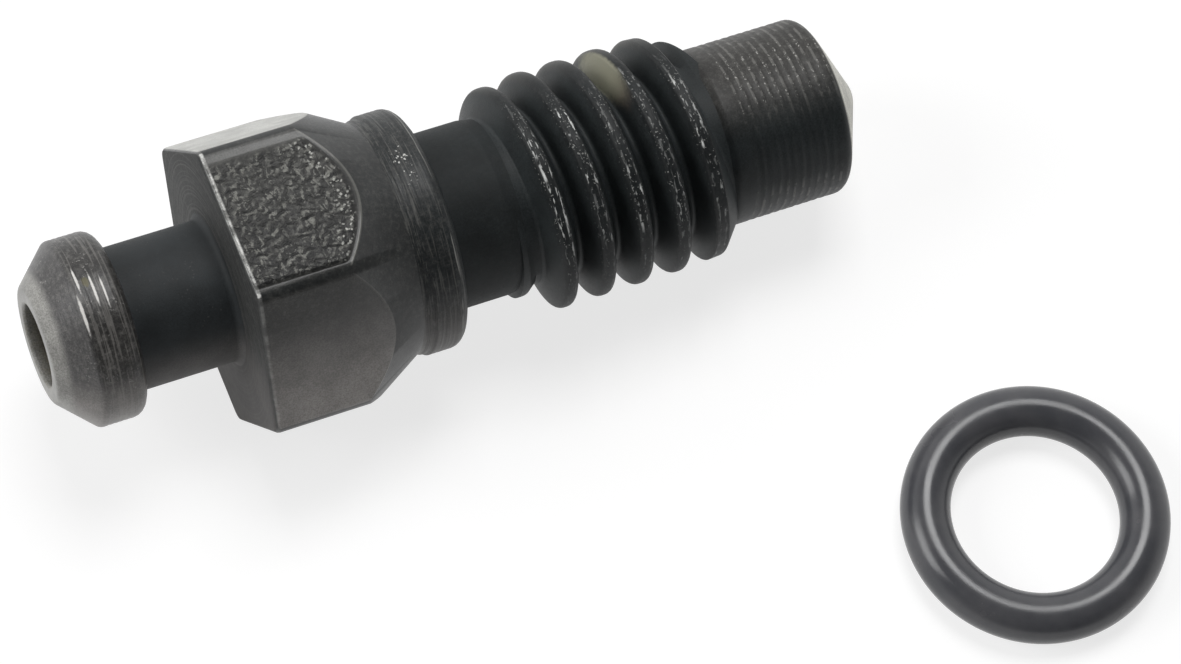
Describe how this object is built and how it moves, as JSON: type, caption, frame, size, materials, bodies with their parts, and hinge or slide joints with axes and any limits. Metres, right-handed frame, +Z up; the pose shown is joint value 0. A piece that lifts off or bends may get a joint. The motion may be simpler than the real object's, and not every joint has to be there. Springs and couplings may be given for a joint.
{
  "type": "bleeder screw",
  "caption": "Hollow hexagon-headed bleed screw with a hose nipple, a coarse thread, a plain pilot and its rubber seal ring",
  "frame": {"origin": "on the surface, under the middle of the pair: the screw and the ring that lies beside its tip", "axes": "+Z up, +X along the screw from the mouth of its hose nipple to its tip, +Y from the ring to the screw"},
  "size_m": [0.0398, 0.0296, 0.0113],
  "materials": {
    "phosphated_steel": "dark phosphated steel, worn to grey on the edges",
    "seal_rubber": "satin black"
  },
  "bodies": {
    "root": {"bleeder_screw": "phosphated_steel", "seal_ring": "seal_rubber"}
  },
  "joints": []
}
